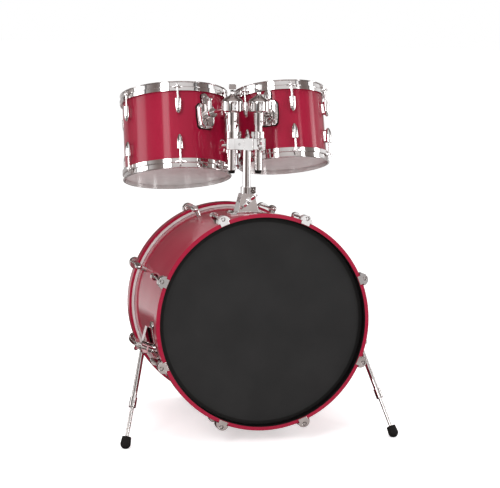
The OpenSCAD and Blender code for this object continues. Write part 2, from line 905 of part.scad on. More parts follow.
module tilter_housing(side) {
  color(silver) tube_frame(side) difference() {
    union() {
      rotate_extrude() tilter_profile();
      tilter_clamp(side);
    }
    tilter_front(side) for (z = [key_hole_low, key_hole_high]) translate([0, 0, z])
      y_cylinder(key_hole_d / 2, tilter_d / 2 + clamp_block_out - key_hole_in, tilter_d);
    sphere(d = ball_d + 2 * ball_gap);
    rod_window(side);
    cylinder(d = tilter_bolt_d + 2 * slide_gap, h = neck_top + over);
    translate([0, 0, stem_low - over])
      cylinder(d = tube_d + 2 * seat_gap, h = tube_stop - stem_low + over);
  }
}

module left_tilter_housing() {
  tilter_housing(LEFT);
}

module right_tilter_housing() {
  tilter_housing(RIGHT);
}

// Tilter bolt: a shank on the ball, a ring on the neck and a flat thumb plate
module tilter_bolt(side, turned) {
  low = ball_d / 2 + slide_gap;
  knob = neck_top + ring_h + tilter_knob_gap;
  color(silver) tube_frame(side) {
    translate([0, 0, low]) cylinder(d = tilter_bolt_d, h = knob + tilter_knob_root - low);
    translate([0, 0, neck_top + slide_gap]) cylinder(r = neck_r, h = ring_h);
    rotate([90, 0, turned]) translate([0, knob, -tilter_knob_t / 2])
      linear_extrude(tilter_knob_t) thumb_plate();
  }
}

module thumb_plate() {
  r = tilter_knob_corner;
  x = tilter_knob_w / 2;
  translate([-x, r]) square([2 * x, tilter_knob_h - 2 * r]);
  translate([-x + r, 0]) square([2 * x - 2 * r, tilter_knob_h]);
  for (u = [-x + r, x - r], v = [r, tilter_knob_h - r]) translate([u, v]) circle(r = r);
}

module left_tilter_bolt() {
  tilter_bolt(LEFT, turned = -20);
}

module right_tilter_bolt() {
  tilter_bolt(RIGHT, turned = 70);
}

module ball_arm(side) {
  color(silver) arm_frame(side) {
    sphere(d = ball_d);
    y_cylinder(arm_rod_d / 2, 0, reach(side) - rod_stop);
  }
}

module left_ball_arm() {
  ball_arm(LEFT);
}

module right_ball_arm() {
  ball_arm(RIGHT);
}

// Toms

module tom_shell(side) {
  color(wine) tom_frame(side) difference() {
    drum_shell(tom_r(side), tom_depth(side), tom_wall);
    stations(tom_count, tom_first) lug_holes(tom_r(side), tom_wall, tom_lug_y(side));
    bracket_screw_holes(side);
  }
}

module left_tom_shell() {
  tom_shell(LEFT);
}

module right_tom_shell() {
  tom_shell(RIGHT);
}

// Flanged hoop: skirt round the flesh hoop, step that presses on it, wall and turned-out rim, with ears
module tom_hoop(side, far) {
  r = tom_r(side);
  low = rim_foot(side);
  step = low + rim_skirt;
  top = low + rim_h;
  color(silver) tom_frame(side) drum_end(far) difference() {
    union() {
      about_y() polygon([
        [r + rim_skirt_in, low], [r + rim_skirt_in + rim_t, low], [r + rim_skirt_in + rim_t, step + rim_t],
        [r + rim_step_in + rim_t, step + rim_t], [r + rim_step_in + rim_t, top - rim_t],
        [r + rim_step_in + rim_flange, top - rim_t], [r + rim_step_in + rim_flange, top],
        [r + rim_step_in, top], [r + rim_step_in, step], [r + rim_skirt_in, step]]);
      for (k = [0:tom_count - 1])
        rotate([0, -tom_first - k * 360 / tom_count, 0]) translate([0, step + rim_t, 0])
          rotate([90, 0, 0]) linear_extrude(rim_t + over)
            hoop_ear(r + rim_skirt_in + rim_t / 2, tom_rod_r(side));
    }
    for (k = [0:tom_count - 1])
      rotate([0, -tom_first - k * 360 / tom_count, 0]) translate([tom_rod_r(side), 0, 0])
        y_cylinder(rod_d / 2 + rod_gap, 0, tom_depth(side));
  }
}

// Ear of a flanged hoop from above, widening towards the hoop
module hoop_ear(root, rod) {
  translate([rod, 0]) circle(r = ear_r);
  polygon([[root, -2 * ear_r], [rod, -ear_r], [rod, ear_r], [root, 2 * ear_r]]);
}

module left_tom_top_hoop() {
  tom_hoop(LEFT, true);
}

module left_tom_bottom_hoop() {
  tom_hoop(LEFT, false);
}

module right_tom_top_hoop() {
  tom_hoop(RIGHT, true);
}

module right_tom_bottom_hoop() {
  tom_hoop(RIGHT, false);
}

module tom_head(side, far) {
  r = tom_r(side);
  color(white) tom_frame(side) drum_end(far)
    drum_head(r, tom_depth(side), rim_foot(side) + rim_skirt, r + rim_skirt_in - seat_gap, tom_flesh_h);
}

module left_tom_top_head() {
  tom_head(LEFT, true);
}

module left_tom_bottom_head() {
  tom_head(LEFT, false);
}

module right_tom_top_head() {
  tom_head(RIGHT, true);
}

module right_tom_bottom_head() {
  tom_head(RIGHT, false);
}

module tom_lugs(side) {
  color(silver) tom_frame(side) stations(tom_count, tom_first)
    lug(tom_r(side), tom_rod_r(side), tom_lug_y(side));
}

module left_tom_lugs() {
  tom_lugs(LEFT);
}

module right_tom_lugs() {
  tom_lugs(RIGHT);
}

module tom_tension_rods(side) {
  color(silver) tom_frame(side) stations(tom_count, tom_first)
    tension_rod(tom_rod_r(side), rim_foot(side) + rim_skirt + rim_t, tom_lug_y(side) - rod_in_lug);
}

module left_tom_tension_rods() {
  tom_tension_rods(LEFT);
}

module right_tom_tension_rods() {
  tom_tension_rods(RIGHT);
}

module tom_lug_screws(side) {
  color(silver) tom_frame(side) stations(tom_count, tom_first)
    lug_screws(tom_r(side), tom_wall, tom_rod_r(side), tom_lug_y(side));
}

module left_tom_lug_screws() {
  tom_lug_screws(LEFT);
}

module right_tom_lug_screws() {
  tom_lug_screws(RIGHT);
}

// Tom brackets, in the tom's frame with the shield's outline seen along Z

// Shield of a bracket, grown all round; the rod is at the outline's origin
module shield_outline(grow) {
  x = shield_w / 2 + grow;
  top = shield_up + grow;
  low = shield_up - shield_h - grow;
  foot = shield_low_w / 2 + grow;
  polygon([
    [-x + shield_corner_x, top], [x - shield_corner_x, top], [x, top - shield_corner_y], [x, shield_waist],
    [foot, low + shield_foot_cut], [foot - shield_foot_cut, low],
    [-foot + shield_foot_cut, low], [-foot, low + shield_foot_cut],
    [-x, shield_waist], [-x, top - shield_corner_y]]);
}

// Round tab on top of the shield, grown all round
module tab_block(grow, h) {
  middle = shield_up + tab_h - tab_w / 2;
  neck = tab_w - 2 * tab_shoulder + 2 * grow;
  translate([0, middle, 0]) cylinder(d = tab_w + 2 * grow, h = h);
  translate([-neck / 2, 0, 0]) cube([neck, middle, h]);
}

// Shield and tab of a bracket, grown all round, out of the shell
module bracket_outline(side, grow) {
  linear_extrude(2 * tom_r(side)) shield_outline(grow);
  tab_block(grow, 2 * tom_r(side));
}

// A curved plate on a tom's shell, between two distances from the shell
module tom_plate(side, from, to) {
  r = tom_r(side);
  depth = tom_depth(side);
  intersection() {
    difference() {
      y_cylinder(r + to, -depth, depth);
      y_cylinder(r + from, -depth - over, depth + over);
    }
    translate([0, drop(side), 0]) children();
  }
}

// Screws of a bracket, one in the tab and two low in the shield, with Z out of the shell
module bracket_screw_places(side, places) {
  for (p = places)
    translate([0, drop(side) + p[1], 0]) rotate([0, asin(p[0] / tom_r(side)), 0]) children();
}

module bracket_screw_holes(side) {
  bracket_screw_places(side, concat(tab_screws, low_screws))
    y_through(tom_r(side), bracket_screw_d + 2 * screw_gap);
}

module y_through(r, d) {
  translate([0, 0, r / 2]) cylinder(d = d, h = r);
}

// Bracket: a shield with a tab and a raised face, and the rod's receiver with its clamp
module tom_bracket(side) {
  r = tom_r(side);
  inner = gasket_t + seat_gap;
  outer = gasket_t + shield_t;
  color(silver) tom_frame(side) difference() {
    union() {
      tom_plate(side, inner, outer) bracket_outline(side, 0);
      tom_plate(side, inner, face_out) linear_extrude(2 * r) shield_outline(-shield_step);
      translate([0, drop(side), r + outer]) cylinder(d = receiver_d, h = receiver_l - outer);
      translate([0, drop(side), r + receiver_l - receiver_band])
        cylinder(d = receiver_d + 2 * receiver_lip, h = receiver_band);
      translate([0, drop(side), r + bracket_bolt_back]) y_cylinder(bracket_clamp_d / 2, 0, clamp_up);
    }
    translate([0, drop(side), r + outer + receiver_floor])
      cylinder(d = arm_rod_d + 2 * slide_gap, h = receiver_l);
    translate([0, drop(side), r + bracket_bolt_back])
      y_cylinder(bracket_bolt_d / 2 + slide_gap, 0, clamp_up + over);
    bracket_screw_holes(side);
    bracket_screw_places(side, low_screws) translate([0, 0, r + outer])
      cylinder(d = bracket_screw_head_d + 2 * screw_gap, h = face_out);
  }
  color(silver) tom_frame(side) bracket_screw_places(side, concat(tab_screws, low_screws)) bracket_screw(side);
}

// Screw of a bracket: head on the shield, shank through the shell and a nut inside
module bracket_screw(side) {
  r = tom_r(side);
  head = r + gasket_t + shield_t + seat_gap;
  nut = r - tom_wall - seat_gap;
  translate([0, 0, nut - over]) cylinder(d = bracket_screw_d, h = head - nut + 2 * over);
  translate([0, 0, head]) cylinder(d = bracket_screw_head_d, h = bracket_screw_head_h);
  translate([0, 0, nut - screw_head_h]) cylinder(d = bracket_screw_head_d, h = screw_head_h, $fn = 6);
}

module left_tom_bracket() {
  tom_bracket(LEFT);
}

module right_tom_bracket() {
  tom_bracket(RIGHT);
}

module tom_gasket(side) {
  color(black) tom_frame(side) difference() {
    tom_plate(side, seat_gap, gasket_t) bracket_outline(side, gasket_rim);
    bracket_screw_holes(side);
  }
}

module left_tom_gasket() {
  tom_gasket(LEFT);
}

module right_tom_gasket() {
  tom_gasket(RIGHT);
}

module bracket_wing_bolt(side, turned) {
  out = clamp_up + bracket_bolt_gap;
  color(silver) tom_frame(side)
    translate([0, drop(side) + out, tom_r(side) + bracket_bolt_back]) rotate([-90, 0, 0])
      wing_bolt(bracket_bolt_d, out - arm_rod_d / 2 - slide_gap, bracket_bolt_span, turned);
}

module left_bracket_wing_bolt() {
  bracket_wing_bolt(LEFT, turned = 20);
}

module right_bracket_wing_bolt() {
  bracket_wing_bolt(RIGHT, turned = 30);
}

// Spurs

// Bracket: a pad on the shell, a block above the leg, a boss along the pivot, the pivot pin and the leg's stop
module spur_bracket(side) {
  difference() {
    union() {
      pivot_frame(side) {
        x_cylinder(2 * spur_boss_r, eye_t / 2, 2 * spur_out);
        x_cylinder(pivot_d, -eye_t / 2 - pivot_stud, eye_t);
        rotate([-spur_forward, 0, 0]) leg_stop();
        translate([-spur_block_out, -spur_block_w / 2, eye_r + spur_block_gap])
          cube([2 * spur_out, spur_block_w, spur_block_h]);
      }
      spur_pad(side);
    }
    drum_frame() y_cylinder(bass_r + seat_gap, -bass_depth / 2, bass_depth / 2);
  }
}

// Stop of a spur: a plate on the boss with a finger in front of the leg, clear of the eye
module leg_stop() {
  front = -spur_d / 2 - slide_gap - stop_t;
  reach = eye_r + slide_gap + stop_h;
  translate([eye_t / 2, front, -reach]) cube([stop_t, stop_t, reach]);
  translate([-spur_d / 2, front, -reach]) cube([spur_d / 2 + eye_t / 2 + over, stop_t, stop_h]);
}

// The bracket's pad, curved like the shell, reaching further up than down from the pivot
module spur_pad(side) {
  drum_frame() mirror_if(side == RIGHT) translate([0, spur_y, 0]) intersection() {
    y_cylinder(bass_r + pad_t, -pad_w, pad_w);
    rotate([0, -180 - spur_below, 0]) rotate([90, 0, 90]) linear_extrude(2 * bass_r)
      rotate(90) stadium(-pad_up, pad_down, pad_w);
  }
}

module spur_brackets() {
  color(silver) {
    spur_bracket(LEFT);
    spur_bracket(RIGHT);
  }
}

// Upper tube with its eye on the pivot and its clamp sleeve at the lower end
module spur_tube(side) {
  color(silver) spur_frame(side) difference() {
    union() {
      x_cylinder(2 * eye_r, -eye_t / 2, eye_t / 2 - seat_gap);
      translate([0, 0, -spur_tube_l]) cylinder(d = spur_d, h = spur_tube_l);
      translate([0, 0, -spur_tube_l]) cylinder(d = clamp_d, h = clamp_l);
      translate([0, 0, -spur_tube_l + clamp_l / 2])
        y_cylinder(clamp_screw_d / 2, -clamp_d / 2 - clamp_screw_out, 0);
    }
    x_cylinder(pivot_d + 2 * pin_gap, -eye_t, eye_t);
    translate([0, 0, -spur_tube_l - over])
      cylinder(d = spur_rod_d + 2 * slide_gap, h = spur_tube_l - eye_r + over);
  }
}

module left_spur_tube() {
  spur_tube(LEFT);
}

module right_spur_tube() {
  spur_tube(RIGHT);
}

module spur_rod(side) {
  color(silver) spur_frame(side) translate([0, 0, -foot_s - foot_l + foot_socket])
    cylinder(d = spur_rod_d, h = foot_s + foot_l - foot_socket - spur_rod_top);
}

module left_spur_rod() {
  spur_rod(LEFT);
}

module right_spur_rod() {
  spur_rod(RIGHT);
}

// Rubber foot: a socket on the rod's end with a round nose, worn flat on the floor
module spur_foot(side) {
  color(black) difference() {
    spur_frame(side) difference() {
      translate([0, 0, -foot_s]) {
        sphere(d = foot_d);
        cylinder(d1 = foot_d, d2 = foot_d - foot_taper, h = foot_l);
      }
      translate([0, 0, -foot_s - foot_l + foot_socket])
        cylinder(d = spur_rod_d + 2 * seat_gap, h = 3 * foot_l);
    }
    translate([-bass_d, -2 * bass_d, -foot_d]) cube([2 * bass_d, 4 * bass_d, foot_d]);
  }
}

module left_spur_foot() {
  spur_foot(LEFT);
}

module right_spur_foot() {
  spur_foot(RIGHT);
}

// Wing nut on the pivot pin's end
module spur_wing_bolt(side) {
  color(silver) pivot_frame(side) translate([-eye_t / 2 - slide_gap, 0, 0]) rotate([0, -90, 0])
    difference() {
      wing_bolt(pivot_d, 0, spur_bolt_span, turned = 30);
      translate([0, 0, -over]) cylinder(d = pivot_d + 2 * pin_gap, h = pivot_stud + 2 * over);
    }
}

module left_spur_wing_bolt() {
  spur_wing_bolt(LEFT);
}

module right_spur_wing_bolt() {
  spur_wing_bolt(RIGHT);
}

bass_shell();
bass_front_hoop();
bass_rear_hoop();
bass_front_head();
bass_rear_head();
bass_claws();
bass_tension_rods();
bass_lugs();
bass_lug_screws();
holder_base();
holder_base_screws();
spur_brackets();
base_wing_bolt();
holder_post();
post_lock();
bridge();
left_bridge_wing_bolt();
right_bridge_wing_bolt();
left_tube_lock();
left_arm_tube();
left_tube_cap();
left_tilter_housing();
left_tilter_bolt();
left_ball_arm();
right_tube_lock();
right_arm_tube();
right_tube_cap();
right_tilter_housing();
right_tilter_bolt();
right_ball_arm();
left_tom_shell();
left_tom_top_hoop();
left_tom_bottom_hoop();
left_tom_top_head();
left_tom_bottom_head();
left_tom_lugs();
left_tom_tension_rods();
left_tom_lug_screws();
left_tom_bracket();
left_tom_gasket();
left_bracket_wing_bolt();
right_tom_shell();
right_tom_top_hoop();
right_tom_bottom_hoop();
right_tom_top_head();
right_tom_bottom_head();
right_tom_lugs();
right_tom_tension_rods();
right_tom_lug_screws();
right_tom_bracket();
right_tom_gasket();
right_bracket_wing_bolt();
left_spur_tube();
left_spur_rod();
left_spur_foot();
left_spur_wing_bolt();
right_spur_tube();
right_spur_rod();
right_spur_foot();
right_spur_wing_bolt();
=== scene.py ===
"""Looks of a bass drum with two toms on a double tom holder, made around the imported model."""
import json
import math

import bmesh
import bpy
from mathutils import Matrix, Vector

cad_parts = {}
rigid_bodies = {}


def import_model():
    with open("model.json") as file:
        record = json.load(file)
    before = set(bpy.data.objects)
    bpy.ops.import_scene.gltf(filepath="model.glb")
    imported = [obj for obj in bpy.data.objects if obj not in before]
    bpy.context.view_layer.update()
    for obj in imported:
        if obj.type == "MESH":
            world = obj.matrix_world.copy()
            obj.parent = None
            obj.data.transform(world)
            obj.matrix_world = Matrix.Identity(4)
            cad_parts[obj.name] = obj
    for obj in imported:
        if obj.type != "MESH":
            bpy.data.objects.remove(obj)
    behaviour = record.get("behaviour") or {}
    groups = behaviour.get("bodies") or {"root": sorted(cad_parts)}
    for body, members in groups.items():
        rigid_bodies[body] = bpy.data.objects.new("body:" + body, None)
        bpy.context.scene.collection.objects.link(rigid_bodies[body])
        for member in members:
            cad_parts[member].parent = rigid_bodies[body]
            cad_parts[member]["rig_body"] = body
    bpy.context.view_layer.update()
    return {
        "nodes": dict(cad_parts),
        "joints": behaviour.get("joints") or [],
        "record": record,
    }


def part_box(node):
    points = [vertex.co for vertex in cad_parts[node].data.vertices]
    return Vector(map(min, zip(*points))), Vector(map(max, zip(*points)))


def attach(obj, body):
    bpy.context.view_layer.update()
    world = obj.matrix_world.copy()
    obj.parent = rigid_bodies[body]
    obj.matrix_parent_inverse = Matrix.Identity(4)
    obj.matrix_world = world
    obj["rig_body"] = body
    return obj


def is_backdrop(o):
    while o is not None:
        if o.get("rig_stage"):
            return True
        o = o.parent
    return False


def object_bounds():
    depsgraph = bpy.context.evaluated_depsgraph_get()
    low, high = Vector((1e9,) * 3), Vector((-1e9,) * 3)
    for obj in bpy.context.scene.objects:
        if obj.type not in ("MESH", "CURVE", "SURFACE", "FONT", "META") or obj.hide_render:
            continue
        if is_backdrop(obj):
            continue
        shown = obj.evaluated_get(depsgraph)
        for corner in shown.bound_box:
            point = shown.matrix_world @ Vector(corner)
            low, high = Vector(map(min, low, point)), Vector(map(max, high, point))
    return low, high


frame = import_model()

# Metres and degrees, in the model's own frame: +Z up, the front head towards -Y
SIDES = ("left", "right")

# The photograph's camera
FRAME_PX = 500
FOCAL_PX = 1512
SENSOR_MM = 36
CAMERA_PLACE = (-0.967, -4.3226, 1.1969)
CAMERA_YAW = 13.49
CAMERA_PITCH = -9.40
CAMERA_ROLL = 1.54
CAMERA_FAR = 200

# Colours, linear
WINE = (0.37, 0.0105, 0.042)
WINE_DEEP = (0.32, 0.0075, 0.033)
CHROME = (0.82, 0.8, 0.797)
CHROME_DULL = (0.73, 0.705, 0.7)
# Painted shade: the colour chrome takes near the floor
CHROME_LOW_SHADE = (0.56, 0.53, 0.52)
HEAD_BLACK = (0.0125, 0.0125, 0.0128)
HEAD_BLACK_WORN = (0.0165, 0.0165, 0.0168)
# Painted shade at the head's collar, where the film bends over the shell's edge
HEAD_RIM_SHADE = (0.002, 0.0018, 0.0018)
HEAD_WHITE = (0.8, 0.76, 0.75)
HEAD_WHITE_DULL = (0.73, 0.69, 0.68)
HOOP_BLACK = (0.002, 0.0015, 0.0015)
HOOP_BLACK_WORN = (0.006, 0.0045, 0.0045)
RUBBER = (0.006, 0.005, 0.005)
RUBBER_DUSTY = (0.011, 0.0095, 0.009)
FLOOR = (0.9, 0.9, 0.9)
FLOOR_PALE = (0.918, 0.918, 0.918)

# Roundness that gloss shows on chrome edges, heights between which a painted shade darkens chrome near the
# floor, and distances from the middle of the front head between which its film turns to the deeper black of a
# painted shade at the rim
CHROME_EDGE = 0.0009
LOW_SHADE_FROM = (0.32, 0.16)
HEAD_RIM_SHADE_FROM = (0.2695, 0.2715)


# Materials

def material(name):
    """A new material: its node tree and its shader."""
    made = bpy.data.materials.new(name)
    made.use_nodes = True
    tree = made.node_tree
    return made, tree, tree.nodes["Principled BSDF"]


def node(tree, kind, **values):
    """A new node, with values for its named inputs or its own settings."""
    made = tree.nodes.new(kind)
    for key, value in values.items():
        if hasattr(made, key):
            setattr(made, key, value)
        else:
            made.inputs[key].default_value = value
    return made


def object_place(tree):
    """Coordinates that stay on the piece as it moves, in metres."""
    return node(tree, "ShaderNodeTexCoord").outputs["Object"]


def noise(tree, scale, detail=2.0):
    """Cloudy values on the piece, so many to the metre."""
    made = node(tree, "ShaderNodeTexNoise", Scale=scale, Detail=detail)
    tree.links.new(object_place(tree), made.inputs["Vector"])
    return made.outputs["Fac"]


def ramp(tree, fac, low, high, start=0.35, end=0.65):
    """A smooth change from one value or colour to another."""
    made = node(tree, "ShaderNodeValToRGB")
    for stop, at, value in zip(made.color_ramp.elements, (start, end), (low, high)):
        stop.position = at
        stop.color = (*value, 1) if isinstance(value, tuple) else (value, value, value, 1)
    tree.links.new(fac, made.inputs["Fac"])
    return made.outputs["Color"]


def bump(tree, height, depth):
    """Fine relief of a depth in metres."""
    made = node(tree, "ShaderNodeBump", Distance=depth)
    tree.links.new(height, made.inputs["Height"])
    return made.outputs["Normal"]


def math_node(tree, operation, first, second):
    """The result of an operation on two sockets or numbers."""
    made = node(tree, "ShaderNodeMath", operation=operation)
    for socket, value in zip(made.inputs, (first, second)):
        if isinstance(value, (int, float)):
            socket.default_value = value
        else:
            tree.links.new(value, socket)
    return made.outputs[0]


def mix(tree, share, first, second):
    """One colour socket blended into another."""
    made = node(tree, "ShaderNodeMixRGB")
    for socket, value in zip(made.inputs, (share, first, second)):
        tree.links.new(value, socket)
    return made.outputs["Color"]


def smooth(tree, value, start, end):
    """A smooth change from 0 to 1 while a value goes from start to end."""
    made = node(tree, "ShaderNodeMapRange", interpolation_type="SMOOTHSTEP")
    made.inputs["From Min"].default_value = start
    made.inputs["From Max"].default_value = end
    tree.links.new(value, made.inputs["Value"])
    return made.outputs["Result"]


def wine_lacquer():
    """Wine-red lacquer: a deep colour coat with a fine pearl, under a clear gloss coat with orange peel."""
    made, tree, shader = material("wine_lacquer")
    colour = ramp(tree, noise(tree, 900, 1), WINE_DEEP, WINE)
    tree.links.new(colour, shader.inputs["Base Color"])
    tree.links.new(ramp(tree, noise(tree, 5), 0.3, 0.38), shader.inputs["Roughness"])
    shader.inputs["Specular IOR Level"].default_value = 0.1
    shader.inputs["Coat Weight"].default_value = 1
    shader.inputs["Coat Roughness"].default_value = 0.02
    shader.inputs["Coat IOR"].default_value = 1.25
    tree.links.new(bump(tree, noise(tree, 60), 0.00004), shader.inputs["Coat Normal"])
    return made


def chrome_plate():
    """Polished chrome, with faint wiping marks in its gloss, and a mottled painted shade that darkens it near
    the floor.
    """
    made, tree, shader = material("chrome_plate")
    shader.inputs["Metallic"].default_value = 1
    smudge = noise(tree, 22, 4)
    place = node(tree, "ShaderNodeSeparateXYZ")
    tree.links.new(object_place(tree), place.inputs[0])
    # Painted shade: mottled darker chrome towards the floor
    low_shade = ramp(tree, noise(tree, 70, 3), CHROME_LOW_SHADE, CHROME_DULL, 0.45, 0.8)
    clean = ramp(tree, smudge, CHROME_DULL, CHROME)
    colour = mix(tree, smooth(tree, place.outputs["Z"], *LOW_SHADE_FROM), clean, low_shade)
    tree.links.new(colour, shader.inputs["Base Color"])
    tree.links.new(ramp(tree, smudge, 0.06, 0.025), shader.inputs["Roughness"])
    soft = node(tree, "ShaderNodeBevel", Radius=CHROME_EDGE)
    tree.links.new(soft.outputs["Normal"], shader.inputs["Normal"])
    return made


def black_film():
    """Satin black head with a grained coating, and a painted shade that makes it a deeper black where it
    bends over the shell's edge.
    """
    made, tree, shader = material("black_film")
    low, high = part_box("bass_front_head")
    away = node(tree, "ShaderNodeVectorMath", operation="DISTANCE")
    tree.links.new(object_place(tree), away.inputs[0])
    away.inputs[1].default_value = (low + high) / 2
    # Painted shade: the film turns deeper black towards its rim
    rim = node(tree, "ShaderNodeMixRGB", Color2=(*HEAD_RIM_SHADE, 1))
    tree.links.new(smooth(tree, away.outputs["Value"], *HEAD_RIM_SHADE_FROM), rim.inputs["Fac"])
    tree.links.new(ramp(tree, noise(tree, 9, 4), HEAD_BLACK, HEAD_BLACK_WORN), rim.inputs["Color1"])
    tree.links.new(rim.outputs["Color"], shader.inputs["Base Color"])
    tree.links.new(ramp(tree, noise(tree, 14, 3), 0.42, 0.5), shader.inputs["Roughness"])
    tree.links.new(bump(tree, noise(tree, 1500), 0.00004), shader.inputs["Normal"])
    shader.inputs["Specular IOR Level"].default_value = 0.3
    return made


def white_film():
    """Milky drum head film with a faint sprayed coating."""
    made, tree, shader = material("white_film")
    tree.links.new(ramp(tree, noise(tree, 30, 5), HEAD_WHITE_DULL, HEAD_WHITE), shader.inputs["Base Color"])
    tree.links.new(ramp(tree, noise(tree, 18, 3), 0.3, 0.42), shader.inputs["Roughness"])
    tree.links.new(bump(tree, noise(tree, 1200), 0.00003), shader.inputs["Normal"])
    return made


def black_rubber():
    """Dull black rubber with a fine grain."""
    made, tree, shader = material("black_rubber")
    tree.links.new(ramp(tree, noise(tree, 60, 4), RUBBER, RUBBER_DUSTY), shader.inputs["Base Color"])
    tree.links.new(ramp(tree, noise(tree, 90, 3), 0.6, 0.75), shader.inputs["Roughness"])
    tree.links.new(bump(tree, noise(tree, 700), 0.00008), shader.inputs["Normal"])
    shader.inputs["Specular IOR Level"].default_value = 0.15
    return made


def hoop_black():
    """Black on the inner face of the front hoop."""
    made, tree, shader = material("hoop_black")
    tree.links.new(ramp(tree, noise(tree, 40, 3), HOOP_BLACK, HOOP_BLACK_WORN), shader.inputs["Base Color"])
    tree.links.new(ramp(tree, noise(tree, 25), 0.3, 0.45), shader.inputs["Roughness"])
    shader.inputs["Specular IOR Level"].default_value = 0.2
    return made


# Each of the record's material slots has the function of its name
FINISH = {make.__name__: make() for make in (
    wine_lacquer, chrome_plate, black_film, white_film, black_rubber)}


# The CAD nodes' finish

EDGE_ANGLE = 32
WELD = 0.000002
# A face of the front hoop that looks at the axis more than this is black
INWARD = -0.7


def finish_node(piece, finish):
    """Material and smooth shading of a CAD node, with its edges kept crisp."""
    piece.data.materials.clear()
    piece.data.materials.append(FINISH[finish])
    weld = piece.modifiers.new("weld", "WELD")
    weld.merge_threshold = WELD
    split = piece.modifiers.new("edges", "EDGE_SPLIT")
    split.split_angle = math.radians(EDGE_ANGLE)
    split.use_edge_sharp = False
    for face in piece.data.polygons:
        face.use_smooth = True


for part in frame["record"]["subparts"]:
    finish_node(frame["nodes"][part["node"]], part["material_slot"])


def blacken_inside(piece, axis):
    """Black on the faces of a hoop that look at its axis."""
    piece.data.materials.append(hoop_black())
    low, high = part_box(piece.name)
    middle = (low + high) / 2
    for face in piece.data.polygons:
        out = face.center - middle
        out -= axis * out.dot(axis)
        if face.normal.dot(out.normalized()) < INWARD:
            face.material_index = 1


def face_axis(head):
    """Direction in which a drum head's outer face looks."""
    middle = sum((Vector(corner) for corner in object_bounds()), Vector()) / 2
    face = max(head.data.polygons, key=lambda face: face.area)
    return face.normal.copy() if face.normal.dot(face.center - middle) > 0 else -face.normal


blacken_inside(frame["nodes"]["bass_front_hoop"], face_axis(frame["nodes"]["bass_front_head"]))


# Turned pieces: black rings under the tilters' thumb plates, and the rolled edges of the tom hoops

TURN_STEPS = 96
ROLL_STEPS = 12
# Height above the ball's middle, and radius
RING_OUTLINE = ((0.0384, 0.0050), (0.0384, 0.0054), (0.0390, 0.0058), (0.0404, 0.0059), (0.0418, 0.0058),
                (0.0424, 0.0054), (0.0424, 0.0050))
# Height from a hoop's rim, distance outwards from the rim, and radius of each rolled edge
ROLLS = ((-0.0014, -0.0010, 0.0016), (-0.0169, 0.0001, 0.0014))
# Depth below a hoop's highest point that still counts as its rim
RIM_FLAT = 0.0001


def new_piece(name, build, place, finish):
    """A piece of the scene's own, from a mesh that is ready."""
    bmesh.ops.recalc_face_normals(build, faces=build.faces)
    mesh = bpy.data.meshes.new(name)
    build.to_mesh(mesh)
    build.free()
    mesh.transform(place)
    mesh.materials.append(FINISH[finish])
    made = bpy.data.objects.new(name, mesh)
    bpy.context.scene.collection.objects.link(made)
    return made


def turned(name, outlines, place, axis, finish):
    """Closed rings turned about an axis, each from heights and radii."""
    build = bmesh.new()
    for outline in outlines:
        rows = []
        for step in range(TURN_STEPS):
            angle = 2 * math.pi * step / TURN_STEPS
            rows.append([build.verts.new((r * math.cos(angle), r * math.sin(angle), z)) for z, r in outline])
        for row, after in zip(rows, rows[1:] + rows[:1]):
            for i in range(len(outline)):
                build.faces.new((row[i - 1], after[i - 1], after[i], row[i])).smooth = True
    turn = Vector((0, 0, 1)).rotation_difference(axis).to_matrix().to_4x4()
    return new_piece(name, build, Matrix.Translation(place) @ turn, finish)


def rim_of(piece, axis):
    """Middle and radius of a hoop's rim, at its far end along an axis."""
    reach = max(vertex.co.dot(axis) for vertex in piece.data.vertices)
    rim = [vertex.co for vertex in piece.data.vertices if vertex.co.dot(axis) > reach - RIM_FLAT]
    low, high = (Vector([pick(co[i] for co in rim) for i in range(3)]) for pick in (min, max))
    middle = (low + high) / 2
    return middle, max((co - middle).length for co in rim)


def rolled(height, radius, roll):
    """Round outline of a rolled edge."""
    angles = [2 * math.pi * step / ROLL_STEPS for step in range(ROLL_STEPS)]
    return [(height + roll * math.sin(angle), radius + roll * math.cos(angle)) for angle in angles]


joints = {joint["name"]: joint for joint in frame["joints"]}
for side in SIDES:
    turn = joints[f"{side}_tilter_knob_turn"]
    ring = turned(f"{side}_tilter_ring", [RING_OUTLINE], turn["pos_m"], Vector(turn["axis"]), "black_rubber")
    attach(ring, turn["child"])
    top, bottom = (frame["nodes"][f"{side}_tom_{end}_hoop"] for end in ("top", "bottom"))
    up = face_axis(frame["nodes"][f"{side}_tom_top_head"])
    for hoop, out in ((top, up), (bottom, -up)):
        middle, radius = rim_of(hoop, out)
        outlines = [rolled(height, radius + away, roll) for height, away, roll in ROLLS]
        rolls = turned(f"{hoop.name}_rolls", outlines, middle, out, "chrome_plate")
        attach(rolls, hoop["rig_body"])


# Flat fronts of the bridge, on its sleeves and the web between them

# Radius of the bridge's sleeves, and how near to it a point of a sleeve is
SLEEVE_R = 0.0175
SLEEVE_NEAR = 0.0002
# The left one's slope to the boss, from above
SLOPE_START = (0.0039, -0.018)
SLOPE_END = (0.0253, -0.0399)
# Outlines about the tube from above, with the post's side as +X; the right one leaves room for its wing bolt
FRONT_OUTLINES = {
    "left": (
        ((-0.0175, -0.004), (-0.0175, -0.0135), (-0.0135, -0.018), SLOPE_START, SLOPE_END, (0.026, -0.039),
         (0.021, -0.0105), (0.0085, -0.0105), (0.0045, -0.0127), (0, -0.0135), (-0.0045, -0.0127),
         (-0.0085, -0.0105), (-0.0129, -0.004)),),
    "right": (
        ((-0.0175, -0.004), (-0.0175, -0.0135), (-0.0135, -0.018), (-0.0045, -0.018), (-0.0045, -0.0127),
         (-0.0085, -0.0105), (-0.0129, -0.004)),
        ((0.0045, -0.018), (0.021, -0.018), (0.021, -0.0105), (0.0085, -0.0105), (0.0045, -0.0127)))}
